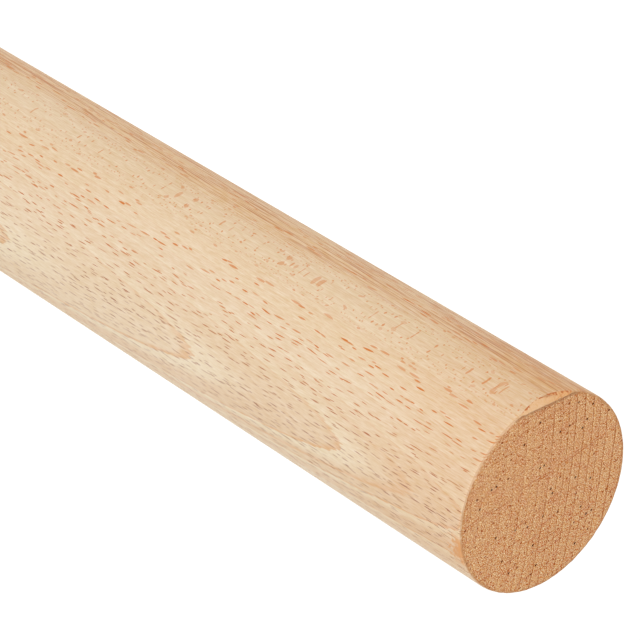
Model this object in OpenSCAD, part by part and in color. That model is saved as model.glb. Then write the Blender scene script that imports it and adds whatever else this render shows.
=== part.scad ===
// Plain beech dowel rod: one length of rounded stock, sawn square at both ends.
// The origin is the middle of the lower end face and +Z runs along the rod.

/* [Rod] */
// Diameter of the rod
rod_d = 30; // [6:1:60]
// Length between the two sawn end faces
rod_l = 300; // [50:5:1000]

/* [Ends] */
// Radius that a pass of sandpaper leaves round the upper end
upper_arris_r = 0.3; // [0.1:0.05:1.5]
// Radius that a pass of sandpaper leaves round the lower end
lower_arris_r = 0.3; // [0.1:0.05:1.5]

/* [Sanded bevel at the upper end] */
// Width that the bevel takes off the end face, at its middle
bevel_w = 0.9; // [0.3:0.1:2]
// Slope of the bevel below the end face, in degrees
bevel_slope = 45; // [30:5:60]
// Bearing of the bevel's middle, in degrees from -Y towards +X
bevel_bearing = 0; // [-180:5:180]

/* [Finish] */
// Colour of the bare wood
wood_color = "#E8CDA9";

/* [Hidden] */
rod_r = rod_d / 2;
// Sides that stand for the round of the rod, and for the small round of an arris
rod_sides = 128;
arris_sides = 48;

// A flat end face and the small round that leads from it into the side.
// The profile lies right of the Y axis, with the face on y = 0 and the rod above it.
module end_profile(arris_r) {
    square([rod_r - arris_r, arris_r]);
    translate([rod_r - arris_r, arris_r])
        intersection() {
            circle(r = arris_r, $fn = arris_sides);
            translate([0, -arris_r]) square(arris_r);
        }
}

// Half of the rod's long section
module rod_profile() {
    end_profile(lower_arris_r);
    translate([0, lower_arris_r])
        square([rod_r, rod_l - lower_arris_r - upper_arris_r]);
    translate([0, rod_l]) mirror([0, 1]) end_profile(upper_arris_r);
}

// What the sanding block takes off one side of the upper end: a flat that slopes
// down and outwards from the end face, and leaves a crescent on the rod
module bevel_waste() {
    rotate([0, 0, bevel_bearing - 90])
        translate([rod_r - bevel_w, -rod_r, rod_l])
            rotate([0, bevel_slope, 0])
                cube([rod_r, rod_d, rod_r]);
}

module dowel_rod() {
    color(wood_color)
        difference() {
            rotate_extrude($fn = rod_sides) rod_profile();
            bevel_waste();
        }
}

dowel_rod();
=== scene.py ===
import math

import bpy
from mathutils import Matrix, Vector


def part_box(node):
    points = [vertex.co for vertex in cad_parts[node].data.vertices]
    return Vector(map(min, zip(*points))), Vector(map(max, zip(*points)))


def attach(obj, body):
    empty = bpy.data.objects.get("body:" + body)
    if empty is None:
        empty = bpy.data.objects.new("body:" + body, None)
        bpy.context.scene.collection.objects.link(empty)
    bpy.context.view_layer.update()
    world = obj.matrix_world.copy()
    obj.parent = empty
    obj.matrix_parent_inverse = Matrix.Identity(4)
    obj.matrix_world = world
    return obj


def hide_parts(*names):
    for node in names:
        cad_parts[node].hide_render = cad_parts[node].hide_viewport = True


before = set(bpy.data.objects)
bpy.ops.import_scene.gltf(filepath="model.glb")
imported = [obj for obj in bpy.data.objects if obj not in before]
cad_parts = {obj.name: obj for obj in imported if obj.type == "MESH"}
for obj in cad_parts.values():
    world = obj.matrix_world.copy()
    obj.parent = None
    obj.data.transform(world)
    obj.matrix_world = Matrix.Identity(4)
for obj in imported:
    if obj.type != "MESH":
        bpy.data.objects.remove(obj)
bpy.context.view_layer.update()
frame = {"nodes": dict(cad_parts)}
print("frame loaded:", ", ".join(frame["nodes"]))

mm = 0.001
hair = 1e-6     # two places closer than this, in metres, are the same place

# The frame stands the rod on its lower end, with its axis up through the origin. The rod is made
# a hundredth of a millimetre small all round, so that it stays inside the CAD body's box.
boxLow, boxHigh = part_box("dowel_rod")
spare = 0.01 * mm
rodRadius = min(-boxLow[0], -boxLow[1], boxHigh[0], boxHigh[1]) - spare
rodBase = boxLow[2] + spare
rodTop = boxHigh[2] - spare

# bearings are in degrees round the rod, from -Y towards +X
cameraSetup = {
    "bearing": 47.348,
    "elevation": 41.312,    # degrees above the horizon
    "roll": 121.306,        # how far the camera leans over, so the rod lies across the picture
    "place": (273.354 * mm, -257.628 * mm, 579.921 * mm),
    "lens": 196.18,
    "sensor": 36,
    "clip": (0.01, 20),     # metres
}


def bearingVector(bearing, elevation):
    # one unit long, away from the rod
    turn, lift = math.radians(bearing), math.radians(elevation)
    return Vector((math.sin(turn) * math.cos(lift), -math.cos(turn) * math.cos(lift), math.sin(lift)))


def addCamera(setup):
    back = bearingVector(setup["bearing"], setup["elevation"])
    level = (-back).to_track_quat("-Z", "Y").to_matrix()
    turned = level @ Matrix.Rotation(math.radians(setup["roll"]), 3, "Z")
    bpy.ops.object.camera_add(location=setup["place"], rotation=turned.to_euler())
    camera = bpy.context.object
    camera.name = "sideCamera"
    camera.data.lens = setup["lens"]
    camera.data.sensor_width = setup["sensor"]
    camera.data.clip_start, camera.data.clip_end = setup["clip"]
    bpy.context.scene.camera = camera


addCamera(cameraSetup)
print("camera placed")


def hexColour(code):
    # sRGB hex to the linear numbers that Blender's sockets hold, and full alpha
    parts = [int(code[i:i + 2], 16) / 255 for i in (1, 3, 5)]
    linear = [p / 12.92 if p <= 0.04045 else ((p + 0.055) / 1.055) ** 2.4 for p in parts]
    return (*linear, 1.0)


def addNode(tree, kind, settings, feeds):
    # feeds go by the sockets' names, or in the order of the sockets in use; each is a socket or a
    # node to link from, an sRGB hex code or a plain value
    made = tree.nodes.new("ShaderNode" + kind)
    for name, value in settings.items():
        setattr(made, name, value)
    if isinstance(feeds, dict):
        pairs = [(made.inputs[name], value) for name, value in feeds.items()]
    else:
        pairs = list(zip([socket for socket in made.inputs if socket.enabled], feeds))
    for socket, value in pairs:
        if isinstance(value, bpy.types.Node):
            value = next(out for out in value.outputs if out.enabled)
        if isinstance(value, bpy.types.NodeSocket):
            tree.links.new(value, socket)
        else:
            socket.default_value = hexColour(value) if isinstance(value, str) else value
    return made


def newMaterial(name):
    material = bpy.data.materials.new(name)
    material.use_nodes = True
    material.node_tree.nodes.clear()
    return material, material.node_tree


# the floor is matt card, which takes the rod's soft shadow and gives no highlight
studio = {
    "floorColour": "#F4F4F2",
    "floorLift": 0.25,          # glow that shows only where it is looked at, so that it reads as white
    "floorSize": 8.0,
    "ambient": 0.735,           # strength of the light from all round
    # high above the side in view, which keeps the rod's shadow short; metres and watts
    "softbox": {"bearing": 56, "elevation": 66, "distance": 1.1, "size": 0.45, "power": 5.5},
    "softboxAim": 0.75,         # how far up the rod it points
}


def seenDirectly(tree):
    # 1 where the camera, a reflection or a see-through ray looks, and 0 for the light that is cast
    paths = addNode(tree, "LightPath", {}, {})
    looks = addNode(tree, "Math", {"operation": "ADD"},
                    [paths.outputs["Is Camera Ray"], paths.outputs["Is Glossy Ray"]])
    return addNode(tree, "Math", {"operation": "ADD", "use_clamp": True},
                   [looks, paths.outputs["Is Transmission Ray"]])


def addFloor(setup):
    bpy.ops.mesh.primitive_plane_add(size=setup["floorSize"], location=(0, 0, 0))
    floor = bpy.context.object
    floor.name = "studioFloor"
    material, tree = newMaterial("matt pale floor")
    lift = addNode(tree, "Math", {"operation": "MULTIPLY"}, [seenDirectly(tree), setup["floorLift"]])
    matt = addNode(tree, "BsdfDiffuse", {}, {"Color": setup["floorColour"]})
    glow = addNode(tree, "Emission", {}, {"Strength": lift})
    both = addNode(tree, "AddShader", {}, [matt, glow])
    addNode(tree, "OutputMaterial", {}, {"Surface": both})
    floor.data.materials.append(material)


def addWorld(setup):
    world = bpy.data.worlds.new("studioLight")
    bpy.context.scene.world = world
    world.use_nodes = True
    tree = world.node_tree
    tree.nodes.clear()
    level = addNode(tree, "MapRange", {},
                    {"Value": seenDirectly(tree), "To Min": setup["ambient"], "To Max": 1.0})
    light = addNode(tree, "Background", {}, {"Color": (1, 1, 1, 1), "Strength": level})
    addNode(tree, "OutputWorld", {}, {"Surface": light})


def addSoftbox(setup):
    box = setup["softbox"]
    away = bearingVector(box["bearing"], box["elevation"])
    bpy.ops.object.light_add(
        type="AREA", location=Vector((0, 0, rodTop * setup["softboxAim"])) + away * box["distance"],
        rotation=(-away).to_track_quat("-Z", "Y").to_euler())
    lamp = bpy.context.object
    lamp.name = "softbox"
    lamp.data.shape = "DISK"
    lamp.data.size = box["size"]
    lamp.data.energy = box["power"]


addFloor(studio)
addWorld(studio)
addSoftbox(studio)
bpy.context.scene.view_settings.view_transform = "Standard"
print("studio set up")

rodShape = {
    "sides": 480,               # a multiple of four, so that the grid in each end fits
    "arris": 0.3 * mm,          # radius sanded round both ends' edges
    "arrisSteps": 3,
    "rimSteps": 3,              # narrow rings inside each end face
    "rimStep": 0.25 * mm,
    "bevelWidth": 0.9 * mm,     # what the sanding block took off the upper end face
    "bevelSlope": 45,           # degrees below the end face
    "bevelBearing": 0,
    # heights above the lower end, or below the upper one, of the extra edge loops
    "endLoops": [0.6 * mm, 0.9 * mm, 1.2 * mm, 1.6 * mm, 2.2 * mm, 3.2 * mm, 5 * mm],
    "longLoops": 30,            # an even number, so that one loop lies halfway up
    # uneven fibres: how far back they are worn, and the size of the patches
    "endFuzz": (0.05 * mm, 0.5 * mm),
    "rimWear": (0.08 * mm, 0.9 * mm),
    "smoothBelow": 35,          # degrees between faces that shade as one
    "sheet": 190 * mm,          # side of the square that the UV map lays the rod out on
    "sheetGap": 0.8 * mm,
}


def deselectAll():
    if bpy.context.object and bpy.context.object.mode != "OBJECT":
        bpy.ops.object.mode_set(mode="OBJECT")
    bpy.ops.object.select_all(action="DESELECT")


def pickInEditMode(piece, element, test):
    # leaves edit mode on, with only the elements that pass the test selected
    if piece.mode != "EDIT":
        bpy.ops.object.mode_set(mode="EDIT")
    bpy.ops.mesh.select_mode(type=element)
    bpy.ops.mesh.select_all(action="DESELECT")
    bpy.ops.object.mode_set(mode="OBJECT")
    mesh = piece.data
    for one in {"EDGE": mesh.edges, "FACE": mesh.polygons}[element]:
        one.select = test(one)
    bpy.ops.object.mode_set(mode="EDIT")


def makeRod(shape):
    deselectAll()
    bpy.ops.mesh.primitive_cylinder_add(
        vertices=shape["sides"], radius=rodRadius, depth=rodTop - rodBase,
        end_fill_type="NGON", calc_uvs=False, location=(0, 0, (rodTop + rodBase) / 2))
    rod = bpy.context.object
    rod.name = "dowelRod"
    bpy.ops.object.transform_apply(location=True, rotation=True, scale=True)
    mesh = rod.data

    # ease the edges of both end faces
    def onEndEdge(edge):
        ends = [mesh.vertices[i].co.z for i in edge.vertices]
        return abs(ends[0] - ends[1]) < hair
    pickInEditMode(rod, "EDGE", onEndEdge)
    bpy.ops.mesh.bevel(offset=shape["arris"], segments=shape["arrisSteps"], profile=0.5, affect="EDGES")

    # narrow rings inside the rim of each end face, then an even grid in the middle
    pickInEditMode(rod, "FACE", lambda face: len(face.vertices) > 4)
    for _ in range(shape["rimSteps"]):
        bpy.ops.mesh.inset(thickness=shape["rimStep"], use_individual=True)
    bpy.ops.mesh.delete(type="ONLY_FACE")
    gridEdge = rodRadius - shape["arris"] - (shape["rimSteps"] - 0.5) * shape["rimStep"]
    for height in (rodBase, rodTop):
        def onOpenRim(edge, height=height):
            ends = [mesh.vertices[i].co for i in edge.vertices]
            return all(abs(e.z - height) < hair and e.xy.length < gridEdge for e in ends)
        pickInEditMode(rod, "EDGE", onOpenRim)
        bpy.ops.mesh.fill_grid(span=shape["sides"] // 4)

    # edge loops along the side: close together near the ends, and even between them
    first, last = rodBase + shape["endLoops"][-1], rodTop - shape["endLoops"][-1]
    heights = [rodBase + h for h in shape["endLoops"]] + [rodTop - h for h in shape["endLoops"]]
    heights += [first + (last - first) * i / shape["longLoops"] for i in range(1, shape["longLoops"])]
    for height in sorted(heights):
        bpy.ops.mesh.select_all(action="SELECT")
        bpy.ops.mesh.bisect(plane_co=(0, 0, height), plane_no=(0, 0, 1), threshold=hair)

    # the sanding block's bevel: one flat cut across the edge, closed again with a face
    outward = bearingVector(shape["bevelBearing"], 90 - shape["bevelSlope"])
    chord = bearingVector(shape["bevelBearing"], 0) * (rodRadius - shape["bevelWidth"])
    bpy.ops.mesh.select_all(action="SELECT")
    bpy.ops.mesh.bisect(plane_co=chord + Vector((0, 0, rodTop)), plane_no=outward,
                        use_fill=True, clear_outer=True, threshold=hair)
    pickInEditMode(rod, "FACE", lambda face: len(face.vertices) > 4)
    bpy.ops.mesh.quads_convert_to_tris(quad_method="BEAUTY", ngon_method="BEAUTY")
    bpy.ops.object.mode_set(mode="OBJECT")
    return rod


def layOut(piece, shape):
    # the rod's own UV map: the side as two strips, each half the rod's length, and the two end
    # faces above them, all on one square sheet
    sheet, gap, halfway = shape["sheet"], shape["sheetGap"], (rodBase + rodTop) / 2
    discRadius = (sheet - halfway) / 2 - 2 * gap
    mesh = piece.data
    where = [v.co.copy() for v in mesh.vertices]
    uvMap = mesh.uv_layers.new(name="OFBake")
    for face in mesh.polygons:
        heights = [where[i].z for i in face.vertices]
        upper = face.center.z > halfway
        left = sheet / 2 if upper else 0
        endFace = min(heights) > rodTop - hair or max(heights) < rodBase + hair
        middle = math.atan2(face.center.x, -face.center.y)
        for loop in face.loop_indices:
            point = where[mesh.loops[loop].vertex_index]
            if endFace:
                u = left + sheet / 4 + point.x / rodRadius * discRadius
                v = sheet - gap - discRadius + point.y / rodRadius * discRadius
            else:
                turn = math.atan2(point.x, -point.y) - middle
                turn = middle + (turn + math.pi) % (2 * math.pi) - math.pi
                u = left + sheet / 4 + turn * rodRadius
                fromEnd = (rodTop - point.z) if upper else (point.z - rodBase)
                v = 2 * gap + fromEnd - (rodRadius - point.xy.length)
            uvMap.data[loop].uv = (u / sheet, v / sheet)


def wearBack(piece, groupName, wanted, depth, patch):
    # presses the picked points inwards by an uneven depth that is never more than the given one
    group = piece.vertex_groups.new(name=groupName)
    group.add([v.index for v in piece.data.vertices if wanted(v.co)], 1, "REPLACE")
    clouds = bpy.data.textures.new(groupName, "CLOUDS")
    clouds.noise_scale = patch
    clouds.noise_depth = 1
    bpy.ops.object.modifier_add(type="DISPLACE")
    wear = piece.modifiers[-1]
    wear.texture = clouds
    wear.texture_coords = "LOCAL"
    wear.mid_level = 0
    wear.strength = -depth
    wear.vertex_group = groupName
    bpy.ops.object.modifier_apply(modifier=wear.name)


def wearEnds(piece, shape):
    # the saw leaves both end faces fuzzy, and handling wears their rims
    arris, rimInner = shape["arris"], rodRadius - shape["arris"] + hair - shape["rimStep"]

    def onEndFace(co):
        return not rodBase + hair < co.z < rodTop - hair

    def onRim(co):
        atEnd = not rodBase + arris + hair < co.z < rodTop - arris - hair
        return atEnd and co.xy.length > rimInner
    wearBack(piece, "endFuzz", onEndFace, *shape["endFuzz"])
    wearBack(piece, "rimWear", onRim, *shape["rimWear"])


rod = makeRod(rodShape)
layOut(rod, rodShape)
wearEnds(rod, rodShape)
bpy.ops.object.shade_smooth_by_angle(angle=math.radians(rodShape["smoothBelow"]))
print("rod shaped:", len(rod.data.polygons), "faces")

# European beech, rounded by a machine and finely sanded, with no finish on it. The eye sees a warm
# cream ground with faint rings, short brown dashes where the rays end on the surface, broad orange
# flecks where they lie along it, and a much darker, grainy end. All lengths are in millimetres.
# The numbers of a mark that comes and goes are where it begins and where it is full, and two more
# are how strong it is at each.
beechLook = {
    "tree": {
        "pith": (110.0, -14.0),         # where its heart lay, from the rod's axis at the upper end
        "pithDrift": (-0.04, 0.10),     # how far that moves for each millimetre down the rod
        "strays": 0.3,                  # how far the trunk strayed as it grew, and over what lengths
        "straysOver": (14, 14, 90),
        "rayBearing": 10.6,             # the rays are upright sheets square to this bearing, in degrees
    },
    "rings": {
        "width": 1.53,
        "phase": 0.304,                 # moves them all outwards
        "firstYear": 393,               # which run of good and bad years the rod holds
        # size, length and start of the slow changes in growth
        "waves": [(0.206, 15.82, 4.205), (0.198, 6.185, 3.169)],
        "fray": 0.105,                  # how far the fibres fray a ring's edge, and their size
        "fibres": (0.35, 0.35, 9),
        "vigour": (0.45, 1.0),          # how dark a poor year and a good one turn
        # parts of a year: where it darkens, and its last line as the side and as the ends show it
        "darkens": (0.05, 0.45),
        "sideLine": (0.91, 0.985),
        "endLine": (0.86, 0.98),
        # one thin year more, after a dry summer: where it stops, from the rod's axis, over what
        # width it darkens up to there, how sharply it stops and how plain it is
        "thinYear": {"stops": -15.52, "over": 0.24, "edge": 0.05, "share": 0.75},
    },
    "rays": {
        "brown": "#923C12",             # a ray that ends on the surface
        "orange": "#D8781A",            # a ray that lies along it
        "turnsOrange": (0.20, 0.95),
        "ripple": 0.28,                 # how far the sheets wave to either side, and over what lengths
        "rippleOver": (9, 9, 10),
        # the smallest ray of a family against its largest, and how plain its faintest is
        "shortest": 0.45,
        "thinnest": 0.7,
        "faintest": 0.55,
        "bulges": (0.94, 0.995, 1.0, 0.55),     # where it lies down, only its widest parts are cut
        "outline": (1.10, 0.80),
        # each family: the spacing round and along, half the width and height of the largest, the
        # share of places that hold one, and how strongly it shows end on and lying down
        "families": [
            {"spacing": (1.2, 2.8), "half": (0.063, 1.40), "share": 0.82,
             "show": (0.93, 0.995, 1.0, 0.50)},
            {"spacing": (0.9, 1.7), "half": (0.053, 0.95), "share": 0.60,
             "show": (0.93, 0.995, 1.0, 0.50)},
            {"spacing": (0.13, 0.85), "half": (0.034, 0.40), "share": 0.90,
             "show": (0.965, 0.996, 0.08, 0.75)},
        ],
    },
    "side": {
        "early": "#F2E0C2",             # the ground, at the start of each ring
        "late": "#E7C8A5",              # and at its end
        "plain": 0.6,                   # how late it looks where no ring shows
        "ringLine": "#E0A262",
        # how much of the rings shows where the surface crosses them, and where it runs along them
        "ringShow": (0.60, 0.10, 0.30, 0.78),
        "lineShow": (0.60, 0.10, 0.15, 0.50),
        "outerTint": "#FCEFDC",         # laid over the later wood, further from the pith
        "outerFrom": (-2.3, 3.2),       # where the later wood begins, from the rod's axis
        "outerComesIn": (0.0, 70.0, 0.0, 3.3),  # how far down the rod, and how much nearer it begins
        "thread": "#C4793C",            # the long dark threads in it
        "threadSize": (0.20, 1.1, 11.0),
        "threadShow": (0.48, 0.64, 0.0, 0.80),
        "threadSide": (-11.0, -3.0, 1.0, 0.15),     # they are plain on one side of the rod only
        "lyingTint": "#FFFBF5",         # laid over where the rays lie along the surface
        "lyingFrom": (0.80, 0.95),
        "nearEnd": "#FAEFE4",           # laid over the ends, which handling has left warmer
        "nearEndReach": 32.0,
        # width, length and contrast of the fibres, of the figure and of the slow change along a
        # board; real fibres are ten times finer still, and are drawn this wide so that they show
        "streaks": [(0.15, 1.8, 0.13), (0.40, 2.4, 0.03), (7, 45, 0.04)],
        "warmth": (0.9, 1.1, 1.25, 0.75),   # the darker fibres are also the warmer ones
    },
    "end": {
        "ground": "#CA924C",
        "dark": "#983A00",
        "pale": "#EBDDB6",
        "warm": "#BA6212",
        # real pores are 0.06 across; this grit is coarser, so that it shows, and comes loose as
        # well as drawn out along the rings and along the rays: the size outwards, then round
        "grit": {"loose": (0.10, 0.10), "banded": (0.12, 0.30), "combed": (0.7, 0.11),
                 "broad": (1.6, 1.3)},
        "lows": (0.47, 0.32),           # the parts of a grit that a dark layer colours
        "highs": (0.53, 0.68),          # and those that a pale one does
        # the layers of colour, each laid over the one before: its grit, parts, share and colour
        "layers": [("broad", "lows", 0.60, "warm"),
                   ("banded", "highs", 0.75, "pale"), ("banded", "lows", 0.75, "dark"),
                   ("combed", "lows", 0.90, "warm"), ("loose", "lows", 0.92, "dark"),
                   ("loose", "highs", 0.95, "pale")],
        "ringLine": "#96501C",
        "linesOutwards": (-10.0, 6.0, 0.35, 1.0),   # the lines are plainer in the later wood
        "linesPatchy": (0.30, 0.60, 0.55, 1.0),
        "lateShare": 0.16,              # how much the late wood of a ring darkens
        "rayBreaks": (2.5, 0.6),        # each ray shows along a part of its length
        "rayShow": (0.42, 0.56),
    },
    "pores": {
        "brown": "#8E3600",
        "dark": "#461800",
        "turnsDark": (0.91, 0.99),      # the largest are the darkest
        "spacing": (0.75, 0.90),
        "radius": (0.065, 0.18),
        "rarity": 3.0,                  # the higher, the fewer are large
        "share": 0.75,                  # of places that hold one
        "outline": (1.1, 0.75),
    },
    "edges": {
        "bevelTone": "#C8955F",         # the fibres cut at a slant on the bevel
        "bevelWithin": (0.12, 0.06),    # of its plane
        "bevelSlant": (0.30, 0.60),
        "bevelShare": 0.55,
        "fuzz": 0.6,                    # size of the patches that come and go along every edge
        "fray": 0.7,                    # how far they carry an edge in or out
        "tornTone": "#B4652C",          # torn fibres along the bevel's outer edge
        "tornFrom": (0.16, 0.04),       # in from the rod's side
        "lipShadeTone": "#8C6646",           # painted shade: a dark line just inside the face along the bevel's inner edge
        "lipFrom": (0.70, 0.20, 0.0, 0.55),     # in from that edge
        "lipFlat": (0.90, 0.99),
        "rimFuzzAndShadeTone": "#A9774B",           # the fuzzy rim of each end, with painted shade that darkens the light its eased edge catches
        "rimFrom": (0.55, 0.25),        # in from the rod's side
        "rimSlant": (0.15, 0.50, 0.0, 0.6),
        # beside the bevel the edge is rubbed, and the side's colour comes over onto the face
        "rubbedBearing": 42,            # degrees round from the bevel
        "rubbedNear": (0.78, 0.96),
        "rubbedFrom": (0.9, 0.1),       # in from the rod's side
        "rubbedBy": -0.35,
        "rubbedRim": 0.7,               # what is left of the rim there
        # end grain shows on the end faces and only just over their edges
        "sawnFrom": (0.55, 0.85),
        "sawnFray": 0.35,
        "bevelBy": -0.45,               # it stops short of the bevel
    },
    "stain": {
        "tone": "#DC8A2C",              # a small stain on the side, right at the upper end
        "bearing": 103,                 # degrees round from the bevel
        "near": (0.978, 0.995),
        "fuzz": 0.6,                    # size of the patches along its edge
        "fray": (0.3, 0.7, -1.6, 1.6),  # how far they carry it up or down
        "down": (2.8, 0.8, 0.0, 0.65),  # from the upper end
    },
    "finish": {
        "sideRoughness": 0.58,
        "endRoughness": 0.80,
        "sideGloss": 0.5,
        "endGloss": 0.1,                # the open pores swallow most of what the ends would reflect
        "relief": 0.05,                 # of the fibres
        "rayRelief": -0.02,             # shares of it
        "poreRelief": -1.0,
    },
}

ease = {"interpolation_type": "SMOOTHSTEP"}     # a change that starts and stops gently
overlay = {"data_type": "RGBA"}                 # one colour laid over another
glaze = {"data_type": "RGBA", "blend_type": "MULTIPLY"}


def sizedNoise(tree, point, size, detail=1.0, dimensions="3D"):
    # noise whose patches have the given size along each axis of the point
    sizes = tuple(1 / s for s in size) + (1,) * (3 - len(size))
    stretch = addNode(tree, "VectorMath", {"operation": "MULTIPLY"}, [point, sizes])
    return addNode(tree, "TexNoise", {"noise_dimensions": dimensions},
                   {"Vector": stretch, "Scale": 1.0, "Detail": detail})


def grainSpace(tree, look):
    # where a point lies in the tree: how far out from the pith, which ray sheet it is in, and how
    # far the surface there lies along the rays or cuts across the fibres
    coords = addNode(tree, "TexCoord", {}, {})
    point = addNode(tree, "VectorMath", {"operation": "SCALE"}, [coords.outputs["Object"], 1 / mm])
    parts = addNode(tree, "SeparateXYZ", {}, [point])
    fromTop = addNode(tree, "Math", {"operation": "SUBTRACT"}, [rodTop / mm, parts.outputs["Z"]])
    fromBase = addNode(tree, "Math", {"operation": "SUBTRACT"}, [parts.outputs["Z"], rodBase / mm])
    fromEnd = addNode(tree, "Math", {"operation": "MINIMUM"}, [fromTop, fromBase])

    wander = sizedNoise(tree, point, look["straysOver"])
    middled = addNode(tree, "VectorMath", {"operation": "SUBTRACT"},
                      [wander.outputs["Color"], (0.5, 0.5, 0.5)])
    trunk = addNode(tree, "VectorMath", {"operation": "MULTIPLY_ADD"},
                    [middled, (look["strays"], look["strays"], 0), point])
    drift = addNode(tree, "VectorMath", {"operation": "SCALE"}, [(*look["pithDrift"], 0), fromTop])
    pith = addNode(tree, "VectorMath", {"operation": "ADD"}, [drift, (*look["pith"], 0)])
    towards = addNode(tree, "VectorMath", {"operation": "SUBTRACT"}, [trunk, pith])
    flat = addNode(tree, "VectorMath", {"operation": "MULTIPLY"}, [towards, (1, 1, 0)])
    reach = addNode(tree, "VectorMath", {"operation": "LENGTH"}, [flat])
    radius = addNode(tree, "Math", {"operation": "SUBTRACT"}, [reach, math.hypot(*look["pith"])])

    # the ray sheets lie along the surface on two sides of the rod, and end on it in between
    sheet = addNode(tree, "VectorMath", {"operation": "DOT_PRODUCT"},
                    [point, bearingVector(look["rayBearing"], 0)])
    outward = addNode(tree, "Math", {"operation": "MULTIPLY"}, [sheet, mm / rodRadius])
    lying = addNode(tree, "Math", {"operation": "ABSOLUTE"}, [outward])

    # 0 on the side, 1 on the ends: how far the surface cuts across the fibres
    bare = addNode(tree, "NewGeometry", {}, {})
    turned = addNode(tree, "VectorTransform", {"vector_type": "NORMAL", "convert_from": "WORLD",
                                               "convert_to": "OBJECT"}, [bare.outputs["Normal"]])
    upright = addNode(tree, "SeparateXYZ", {}, [turned])
    across = addNode(tree, "Math", {"operation": "ABSOLUTE"}, [upright.outputs["Z"]])
    grown = addNode(tree, "CombineXYZ", {}, [radius, sheet, parts.outputs["Z"]])
    return {"point": point, "x": parts.outputs["X"], "y": parts.outputs["Y"], "z": parts.outputs["Z"],
            "fromTop": fromTop, "fromEnd": fromEnd, "radius": radius, "sheet": sheet, "grown": grown,
            "lying": lying, "across": across}


def growthRings(tree, space, look):
    # how late in its year a point grew, from 0 to 1, and a thin line where each year stops
    fray = sizedNoise(tree, space["point"], look["fibres"], 2.0)
    frayed = addNode(tree, "MapRange", {}, {
        "Value": fray, "To Min": -look["fray"], "To Max": look["fray"]})
    grown = addNode(tree, "Math", {"operation": "ADD"}, [space["radius"], frayed])
    total = grown
    for size, length, start in look["waves"]:
        turn = addNode(tree, "Math", {"operation": "MULTIPLY_ADD"}, [grown, 2 * math.pi / length, start])
        wave = addNode(tree, "Math", {"operation": "SINE"}, [turn])
        total = addNode(tree, "Math", {"operation": "MULTIPLY_ADD"}, [wave, size, total])
    years = addNode(tree, "Math", {"operation": "MULTIPLY_ADD"}, [
        total, 1 / look["width"], look["firstYear"] - look["phase"] / look["width"]])
    part = addNode(tree, "Math", {"operation": "FRACT"}, [years])
    year = addNode(tree, "Math", {"operation": "FLOOR"}, [years])
    luck = addNode(tree, "TexWhiteNoise", {"noise_dimensions": "1D"}, {"W": year})
    vigour = addNode(tree, "MapRange", {}, {
        "Value": luck, "To Min": look["vigour"][0], "To Max": look["vigour"][1]})
    darkens = addNode(tree, "MapRange", ease, [part, *look["darkens"]])
    late = addNode(tree, "Math", {"operation": "MULTIPLY"}, [darkens, vigour])

    thin = look["thinYear"]
    upTo = addNode(tree, "MapRange", ease, [
        grown, thin["stops"] - thin["over"], thin["stops"], 0.0, thin["share"]])
    past = addNode(tree, "MapRange", ease, [grown, thin["stops"] + thin["edge"], thin["stops"]])
    thinLine = addNode(tree, "Math", {"operation": "MULTIPLY"}, [upTo, past])
    yearLine = addNode(tree, "MapRange", ease, [part, *look["sideLine"]])
    sideLine = addNode(tree, "Math", {"operation": "MAXIMUM"}, [yearLine, thinLine])
    endLine = addNode(tree, "MapRange", ease, [part, *look["endLine"]])
    return {"late": late, "sideLine": sideLine, "endLine": endLine}


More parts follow.
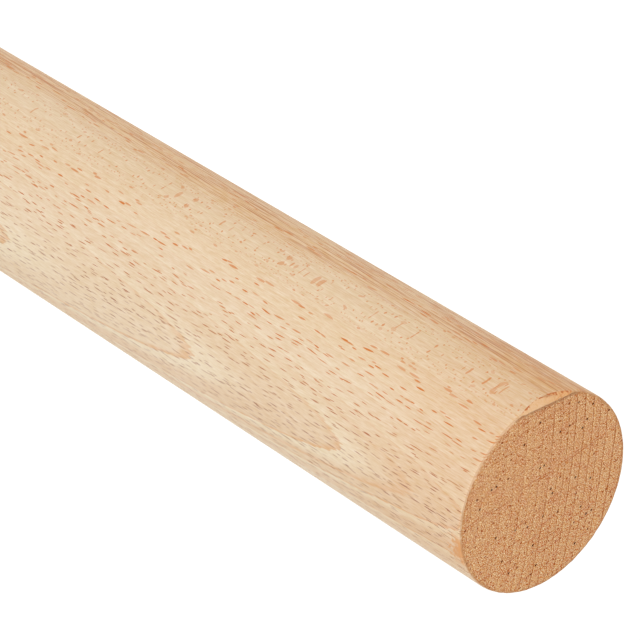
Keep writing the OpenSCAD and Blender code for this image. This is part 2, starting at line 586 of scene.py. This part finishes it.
def rayFamily(tree, space, look, family):
    # rays are upright sheets that run out from the pith; the surface cuts each one as a lens
    ripple = sizedNoise(tree, space["point"], look["rippleOver"])
    rippled = addNode(tree, "MapRange", {}, {
        "Value": ripple, "To Min": -look["ripple"], "To Max": look["ripple"]})
    level = addNode(tree, "Math", {"operation": "ADD"}, [space["sheet"], rippled])
    sheet = addNode(tree, "CombineXYZ", {}, {"X": level, "Y": space["z"]})
    spacing = (*family["spacing"], 1)
    scaled = addNode(tree, "VectorMath", {"operation": "DIVIDE"}, [sheet, spacing])
    cell = addNode(tree, "TexVoronoi", {"voronoi_dimensions": "2D"}, {"Vector": scaled, "Scale": 1.0})
    away = addNode(tree, "VectorMath", {"operation": "SUBTRACT"}, [scaled, cell.outputs["Position"]])
    offset = addNode(tree, "VectorMath", {"operation": "MULTIPLY"}, [away, spacing])
    sides = addNode(tree, "SeparateXYZ", {}, [offset])
    luck = addNode(tree, "SeparateColor", {}, [cell.outputs["Color"]])
    halfWidth, halfHeight = family["half"]
    height = addNode(tree, "MapRange", {}, {
        "Value": luck.outputs["Red"], "To Min": halfHeight * look["shortest"], "To Max": halfHeight})
    width = addNode(tree, "MapRange", {}, {
        "Value": luck.outputs["Green"], "To Min": halfWidth * look["thinnest"], "To Max": halfWidth})
    bulge = addNode(tree, "MapRange", ease, [space["lying"], *look["bulges"]])
    thinned = addNode(tree, "Math", {"operation": "MULTIPLY"}, [width, bulge])
    shortened = addNode(tree, "Math", {"operation": "MULTIPLY"}, [height, bulge])
    along = addNode(tree, "Math", {"operation": "DIVIDE"}, [sides.outputs["Y"], shortened])
    squared = addNode(tree, "Math", {"operation": "MULTIPLY"}, [along, along])
    across = addNode(tree, "Math", {"operation": "DIVIDE"}, [sides.outputs["X"], thinned])
    sideways = addNode(tree, "Math", {"operation": "ABSOLUTE"}, [across])
    used = addNode(tree, "Math", {"operation": "ADD"}, [squared, sideways])
    inside = addNode(tree, "MapRange", ease, [used, *look["outline"]])
    held = addNode(tree, "Math", {"operation": "LESS_THAN"}, [luck.outputs["Blue"], family["share"]])
    strength = addNode(tree, "MapRange", {}, {
        "Value": luck.outputs["Blue"], "From Max": family["share"], "To Min": 1.0,
        "To Max": look["faintest"]})
    show = addNode(tree, "MapRange", ease, [space["lying"], *family["show"]])
    kept = addNode(tree, "Math", {"operation": "MULTIPLY"}, [held, strength])
    shown = addNode(tree, "Math", {"operation": "MULTIPLY"}, [kept, show])
    return addNode(tree, "Math", {"operation": "MULTIPLY"}, [inside, shown])


def allRays(tree, space, look):
    # how strongly a ray shows at a point, and its colour there
    shown = 0.0
    for family in look["families"]:
        shown = addNode(tree, "Math", {"operation": "MAXIMUM"}, [
            shown, rayFamily(tree, space, look, family)])
    lying = addNode(tree, "MapRange", ease, [space["lying"], *look["turnsOrange"]])
    colour = addNode(tree, "Mix", overlay, [lying, look["brown"], look["orange"]])
    return {"shown": shown, "colour": colour}


def sideGrain(tree, space, rings, look):
    # the colour of the ground along the grain, before the rays
    ringShow = addNode(tree, "MapRange", ease, [space["lying"], *look["ringShow"]])
    lateness = addNode(tree, "Mix", {"data_type": "FLOAT"}, [ringShow, look["plain"], rings["late"]])
    colour = addNode(tree, "Mix", overlay, [lateness, look["early"], look["late"]])
    lineShow = addNode(tree, "MapRange", ease, [space["lying"], *look["lineShow"]])
    lined = addNode(tree, "Math", {"operation": "MULTIPLY"}, [rings["sideLine"], lineShow])
    colour = addNode(tree, "Mix", overlay, [lined, colour, look["ringLine"]])

    nearer = addNode(tree, "MapRange", ease, [space["fromTop"], *look["outerComesIn"]])
    later = addNode(tree, "Math", {"operation": "ADD"}, [space["radius"], nearer])
    outer = addNode(tree, "MapRange", ease, [later, *look["outerFrom"]])
    colour = addNode(tree, "Mix", glaze, [outer, colour, look["outerTint"]])
    threads = addNode(tree, "MapRange", ease, [
        sizedNoise(tree, space["grown"], look["threadSize"]), *look["threadShow"]])
    oneSide = addNode(tree, "MapRange", ease, [space["y"], *look["threadSide"]])
    where = addNode(tree, "Math", {"operation": "MULTIPLY"}, [outer, oneSide])
    threaded = addNode(tree, "Math", {"operation": "MULTIPLY"}, [where, threads])
    colour = addNode(tree, "Mix", overlay, [threaded, colour, look["thread"]])

    lying = addNode(tree, "MapRange", ease, [space["lying"], *look["lyingFrom"]])
    colour = addNode(tree, "Mix", glaze, [lying, colour, look["lyingTint"]])
    handled = addNode(tree, "MapRange", ease, [space["fromEnd"], look["nearEndReach"], 0.0])
    colour = addNode(tree, "Mix", glaze, [handled, colour, look["nearEnd"]])

    fibre = 1.0
    for wide, long, contrast in look["streaks"]:
        level = addNode(tree, "MapRange", {"clamp": False}, {
            "Value": sizedNoise(tree, space["point"], (wide, wide, long)),
            "To Min": -contrast, "To Max": contrast})
        fibre = addNode(tree, "Math", {"operation": "ADD"}, [fibre, level])
    warmth = addNode(tree, "MapRange", {"clamp": False}, [fibre, *look["warmth"]])
    shaded = addNode(tree, "HueSaturation", {}, {"Value": fibre, "Saturation": warmth, "Color": colour})
    return {"colour": shaded, "fibre": fibre}


def endGrain(tree, space, rings, rays, look):
    # the sawn fibres' ends: a gritty tan face with ring lines and fine rays
    grit = {name: sizedNoise(tree, space["grown"], size, 1.0, "2D")
            for name, size in look["grit"].items()}
    colour = look["ground"]
    for name, parts, share, shade in look["layers"]:
        layer = addNode(tree, "MapRange", ease, [grit[name], *look[parts], 0.0, share])
        colour = addNode(tree, "Mix", overlay, [layer, colour, look[shade]])

    outwards = addNode(tree, "MapRange", ease, [space["radius"], *look["linesOutwards"]])
    patches = addNode(tree, "MapRange", ease, [grit["broad"], *look["linesPatchy"]])
    patchy = addNode(tree, "Math", {"operation": "MULTIPLY"}, [outwards, patches])
    lines = addNode(tree, "Math", {"operation": "MULTIPLY"}, [rings["endLine"], patchy])
    colour = addNode(tree, "Mix", overlay, [lines, colour, look["ringLine"]])
    late = addNode(tree, "Math", {"operation": "MULTIPLY"}, [rings["late"], look["lateShare"]])
    colour = addNode(tree, "Mix", overlay, [late, colour, look["dark"]])
    broken = addNode(tree, "MapRange", ease, [
        sizedNoise(tree, space["grown"], look["rayBreaks"], 1.0, "2D"), *look["rayShow"]])
    threads = addNode(tree, "Math", {"operation": "MULTIPLY"}, [rays["shown"], broken])
    colour = addNode(tree, "Mix", overlay, [threads, colour, look["dark"]])
    return {"colour": colour, "grit": grit["loose"]}


def openPores(tree, space, look):
    # round holes in the end grain, small and brown or, now and then, large and dark
    spacing = look["spacing"]
    scaled = addNode(tree, "VectorMath", {"operation": "DIVIDE"}, [space["grown"], (*spacing, 1)])
    cell = addNode(tree, "TexVoronoi", {"voronoi_dimensions": "2D"}, {"Vector": scaled, "Scale": 1.0})
    away = addNode(tree, "VectorMath", {"operation": "SUBTRACT"}, [scaled, cell.outputs["Position"]])
    offset = addNode(tree, "VectorMath", {"operation": "MULTIPLY"}, [away, (*spacing, 0)])
    distance = addNode(tree, "VectorMath", {"operation": "LENGTH"}, [offset])
    luck = addNode(tree, "SeparateColor", {}, [cell.outputs["Color"]])
    rare = addNode(tree, "Math", {"operation": "POWER"}, [luck.outputs["Green"], look["rarity"]])
    size = addNode(tree, "MapRange", {}, {
        "Value": rare, "To Min": look["radius"][0], "To Max": look["radius"][1]})
    near = addNode(tree, "Math", {"operation": "DIVIDE"}, [distance, size])
    hole = addNode(tree, "MapRange", ease, [near, *look["outline"]])
    held = addNode(tree, "Math", {"operation": "LESS_THAN"}, [luck.outputs["Red"], look["share"]])
    shown = addNode(tree, "Math", {"operation": "MULTIPLY"}, [hole, held])
    dark = addNode(tree, "MapRange", ease, [luck.outputs["Green"], *look["turnsDark"]])
    colour = addNode(tree, "Mix", overlay, [dark, look["brown"], look["dark"]])
    return {"shown": shown, "colour": colour}


def stainMark(tree, space, shape, look):
    # something that soaked into the side from the upper end
    side = bearingVector(shape["bevelBearing"] + look["bearing"], 0)
    facing = addNode(tree, "VectorMath", {"operation": "DOT_PRODUCT"}, [space["point"], side])
    spread = addNode(tree, "MapRange", ease, [facing, *(rodRadius / mm * part for part in look["near"])])
    fuzz = sizedNoise(tree, space["point"], (look["fuzz"],) * 3, 2.0)
    uneven = addNode(tree, "MapRange", {}, [fuzz, *look["fray"]])
    ragged = addNode(tree, "Math", {"operation": "ADD"}, [space["fromTop"], uneven])
    soaked = addNode(tree, "MapRange", ease, [ragged, *look["down"]])
    return addNode(tree, "Math", {"operation": "MULTIPLY"}, [spread, soaked])


def edgeMarks(tree, space, shape, look):
    # how plain each mark of saw, sanding and handling, and each painted shade, is: the bevel, the torn
    # edge on its outer side, the painted shade along its inner one, the ends' fuzzy rims with their
    # painted shade, and how far the sawn face itself shows
    radius = rodRadius / mm
    sideways = bearingVector(shape["bevelBearing"], 0)
    outward = bearingVector(shape["bevelBearing"], 90 - shape["bevelSlope"])
    chord = (rodRadius - shape["bevelWidth"]) / mm
    plane = outward.dot(sideways * chord + Vector((0, 0, rodTop / mm)))
    depth = addNode(tree, "VectorMath", {"operation": "DOT_PRODUCT"}, [space["point"], outward])
    off = addNode(tree, "Math", {"operation": "SUBTRACT"}, [depth, plane])
    gap = addNode(tree, "Math", {"operation": "ABSOLUTE"}, [off])
    within = addNode(tree, "MapRange", ease, [gap, *look["bevelWithin"]])
    slanted = addNode(tree, "MapRange", ease, [space["across"], *look["bevelSlant"]])
    onBevel = addNode(tree, "Math", {"operation": "MULTIPLY"}, [within, slanted])
    bevel = addNode(tree, "Math", {"operation": "MULTIPLY"}, [onBevel, look["bevelShare"]])

    flat = addNode(tree, "CombineXYZ", {}, {"X": space["x"], "Y": space["y"]})
    out = addNode(tree, "VectorMath", {"operation": "LENGTH"}, [flat])
    fuzz = sizedNoise(tree, space["point"], (look["fuzz"],) * 3, 2.0)
    fray = addNode(tree, "MapRange", {}, {"Value": fuzz, "To Min": -look["fray"], "To Max": look["fray"]})
    reach = addNode(tree, "Math", {"operation": "ADD"}, [out, fray])
    edge = addNode(tree, "MapRange", ease, [reach, *(radius - inside for inside in look["tornFrom"])])
    torn = addNode(tree, "Math", {"operation": "MULTIPLY"}, [edge, onBevel])

    # painted shade: a dark line just inside the face along the bevel's inner edge
    forward = addNode(tree, "VectorMath", {"operation": "DOT_PRODUCT"}, [space["point"], sideways])
    behind = addNode(tree, "Math", {"operation": "SUBTRACT"}, [chord, forward])
    ragged = addNode(tree, "Math", {"operation": "ADD"}, [behind, fray])
    lipShadeBand = addNode(tree, "MapRange", ease, [ragged, *look["lipFrom"]])
    onFace = addNode(tree, "MapRange", ease, [space["across"], *look["lipFlat"]])
    lipShade = addNode(tree, "Math", {"operation": "MULTIPLY"}, [lipShadeBand, onFace])

    # the rim is a narrow band inside the face and over the eased edge, and comes and goes; its colour is
    # painted shade on the eased edge together with the fuzzy fibres' darker colour
    band = addNode(tree, "MapRange", ease, [reach, *(radius - inside for inside in look["rimFrom"])])
    offSide = addNode(tree, "MapRange", ease, [space["across"], *look["rimSlant"]])
    both = addNode(tree, "Math", {"operation": "MULTIPLY"}, [band, offSide])
    offBevel = addNode(tree, "Math", {"operation": "SUBTRACT"}, [1.0, onBevel])
    fuzzAndShadeBand = addNode(tree, "Math", {"operation": "MULTIPLY"}, [both, offBevel])
    facing = addNode(tree, "VectorMath", {"operation": "DOT_PRODUCT"}, [
        space["point"], bearingVector(shape["bevelBearing"] + look["rubbedBearing"], 0)])
    beside = addNode(tree, "MapRange", ease, [facing, *(radius * part for part in look["rubbedNear"])])
    left = addNode(tree, "MapRange", ease, [beside, 1.0, 0.0, look["rubbedRim"], 1.0])
    rimFuzzAndShade = addNode(tree, "Math", {"operation": "MULTIPLY"}, [fuzzAndShadeBand, left])

    # how far the end grain's colour comes over the edge, or stops short of it
    uneven = addNode(tree, "MapRange", {}, {
        "Value": fuzz, "To Min": -look["sawnFray"], "To Max": look["sawnFray"]})
    lowered = addNode(tree, "Math", {"operation": "MULTIPLY_ADD"}, [onBevel, look["bevelBy"], uneven])
    worn = addNode(tree, "MapRange", ease, [
        reach, *(radius - inside for inside in look["rubbedFrom"]), 0.0, look["rubbedBy"]])
    rubbed = addNode(tree, "Math", {"operation": "MULTIPLY"}, [worn, beside])
    over = addNode(tree, "Math", {"operation": "ADD"}, [lowered, rubbed])
    cut = addNode(tree, "Math", {"operation": "ADD"}, [space["across"], over])
    sawn = addNode(tree, "MapRange", ease, [cut, *look["sawnFrom"]])
    return {"bevel": bevel, "torn": torn, "sawn": sawn, "rimFuzzAndShade": rimFuzzAndShade, "lipShade": lipShade}


def makeBeech(look, shape):
    material, tree = newMaterial("beech, sanded bare")
    space = grainSpace(tree, look["tree"])
    rings = growthRings(tree, space, look["rings"])
    rays = allRays(tree, space, look["rays"])
    side = sideGrain(tree, space, rings, look["side"])
    end = endGrain(tree, space, rings, rays, look["end"])
    pores = openPores(tree, space, look["pores"])
    marks = edgeMarks(tree, space, shape, look["edges"])
    stain = stainMark(tree, space, shape, look["stain"])

    sawnColour = addNode(tree, "Mix", overlay, [pores["shown"], end["colour"], pores["colour"]])
    colour = side["colour"]
    for share, over in ((rays["shown"], rays["colour"]),
                        (marks["bevel"], look["edges"]["bevelTone"]),
                        (marks["torn"], look["edges"]["tornTone"]),
                        (stain, look["stain"]["tone"]),
                        (marks["sawn"], sawnColour),
                        (marks["rimFuzzAndShade"], look["edges"]["rimFuzzAndShadeTone"]),
                        (marks["lipShade"], look["edges"]["lipShadeTone"])):
        colour = addNode(tree, "Mix", overlay, [share, colour, over])

    finish, sawn = look["finish"], marks["sawn"]
    sideHeight = addNode(tree, "Math", {"operation": "MULTIPLY_ADD"}, [
        rays["shown"], finish["rayRelief"], side["fibre"]])
    endHeight = addNode(tree, "Math", {"operation": "MULTIPLY_ADD"}, [
        pores["shown"], finish["poreRelief"], end["grit"]])
    heights = addNode(tree, "Mix", {"data_type": "FLOAT"}, [sawn, sideHeight, endHeight])
    bump = addNode(tree, "Bump", {}, {
        "Strength": 1.0, "Distance": finish["relief"] * mm, "Height": heights})
    roughness = addNode(tree, "MapRange", {}, {
        "Value": sawn, "To Min": finish["sideRoughness"], "To Max": finish["endRoughness"]})
    gloss = addNode(tree, "MapRange", {}, {
        "Value": sawn, "To Min": finish["sideGloss"], "To Max": finish["endGloss"]})
    shader = addNode(tree, "BsdfPrincipled", {}, {
        "Base Color": colour, "Roughness": roughness, "IOR": 1.5, "Specular IOR Level": gloss,
        "Normal": bump})
    addNode(tree, "OutputMaterial", {}, {"Surface": shader})
    return material


rod.data.materials.append(makeBeech(beechLook, rodShape))
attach(rod, "root")
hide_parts("dowel_rod")
print("beech laid on")
